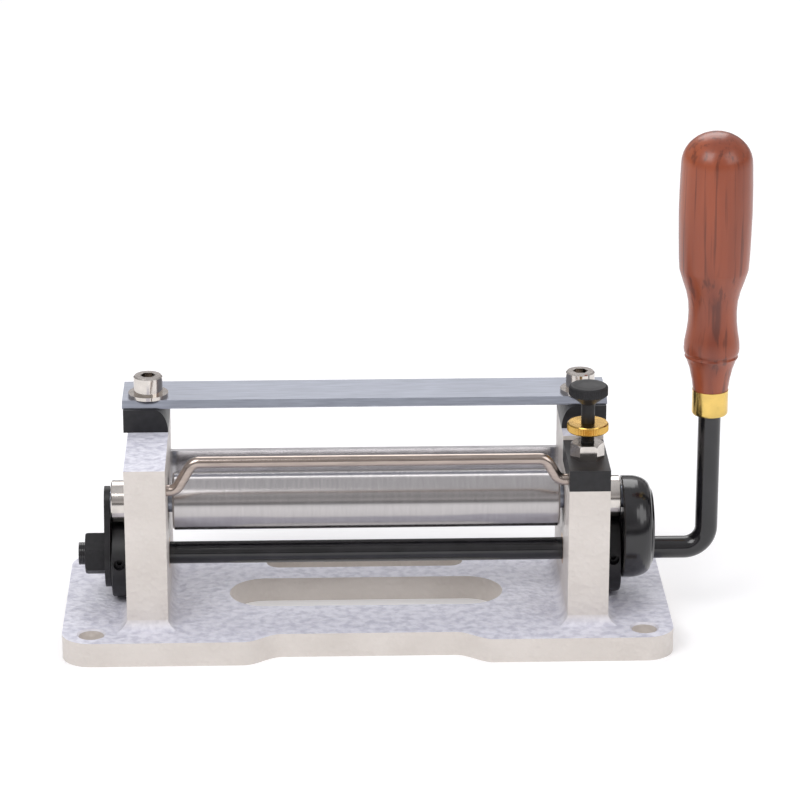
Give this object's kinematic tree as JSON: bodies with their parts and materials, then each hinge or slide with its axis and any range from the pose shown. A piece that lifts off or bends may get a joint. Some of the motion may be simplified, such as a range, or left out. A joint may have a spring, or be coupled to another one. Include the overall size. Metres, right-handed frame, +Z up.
{
  "type": "leather splitting machine",
  "caption": "Bench leather splitter: enamelled cast base, fixed blade over a roller that a cranked hand lever raises on cams.",
  "frame": {"origin": "centre of the four bench bolt holes at the base's underside, midway between the uprights and under the lever rod's axis", "axes": "+X along the roller towards the lever, +Y away from the operator, +Z up"},
  "size_m": [0.3032, 0.106, 0.2248],
  "materials": {
    "white_enamel": "rough white enamel on cast metal",
    "bronze": "plain turned bearing bronze",
    "black_paint": "satin black",
    "black_gloss": "gloss black",
    "black_oxide": "black oxide, dull",
    "blade_steel": "ground along its length",
    "ground_steel": "finely ground and polished",
    "polished_plate": "polished",
    "guard_steel": "polished drawn steel",
    "bright_plate": "bright nickel plate",
    "knurled_brass": "knurled, bright",
    "ferrule_brass": "polished and lacquered",
    "varnished_wood": "satin varnish on reddish hardwood"
  },
  "bodies": {
    "frame": {"base_casting": "white_enamel", "rod_bush_left": "bronze", "rod_bush_right": "bronze", "blade_seat_left": "black_paint", "blade_seat_right": "black_paint", "blade": "blade_steel", "blade_washers": "bright_plate", "blade_screws": "bright_plate", "rest_plate": "polished_plate", "guard_bar": "guard_steel", "adjuster_block": "black_paint", "adjuster_nut": "bright_plate"},
    "lever": {"lever_rod": "black_gloss", "cam_left": "black_paint", "cam_right": "black_paint", "cam_screws": "black_oxide", "rod_nut": "black_oxide", "ferrule": "ferrule_brass", "handle": "varnished_wood"},
    "roller_carrier": {"roller_axle": "blade_steel", "keeper_plate": "black_paint", "keeper_hub": "black_gloss"},
    "roller": {"roller": "ground_steel", "roller_bushes": "bronze"},
    "bearing_left": {"bearing_ring_left": "bright_plate"},
    "bearing_right": {"bearing_ring_right": "bright_plate"},
    "lock_nut": {"lock_nut": "knurled_brass"},
    "adjusting_screw": {"adjusting_screw": "black_oxide"}
  },
  "joints": [
    {"name": "lever_swing", "type": "hinge", "parent": "frame", "child": "lever", "pos_m": [0, 0, 0.0324], "axis": [1, 0, 0], "range_deg": [0, 90]},
    {"name": "roller_lift", "type": "slide", "parent": "frame", "child": "roller_carrier", "axis": [0, 0, 1], "range_m": [0, 0.0058]},
    {"name": "roller_spin", "type": "hinge", "parent": "roller_carrier", "child": "roller", "pos_m": [0, 0, 0.0571], "axis": [1, 0, 0], "continuous": true},
    {"name": "bearing_left_spin", "type": "hinge", "parent": "roller_carrier", "child": "bearing_left", "pos_m": [-0.11, 0, 0.0571], "axis": [1, 0, 0], "continuous": true},
    {"name": "bearing_right_spin", "type": "hinge", "parent": "roller_carrier", "child": "bearing_right", "pos_m": [0.11, 0, 0.0571], "axis": [1, 0, 0], "continuous": true},
    {"name": "adjusting_screw_turn", "type": "hinge", "parent": "frame", "child": "adjusting_screw", "pos_m": [0.097, -0.018, 0.0825], "axis": [0, 0, 1], "continuous": true},
    {"name": "lock_nut_turn", "type": "hinge", "parent": "frame", "child": "lock_nut", "pos_m": [0.097, -0.018, 0.0825], "axis": [0, 0, 1], "continuous": true}
  ],
  "couplings": [
    {"joint": "roller_lift", "follows": "lever_swing", "m_per_rad": 0.0036287}
  ]
}
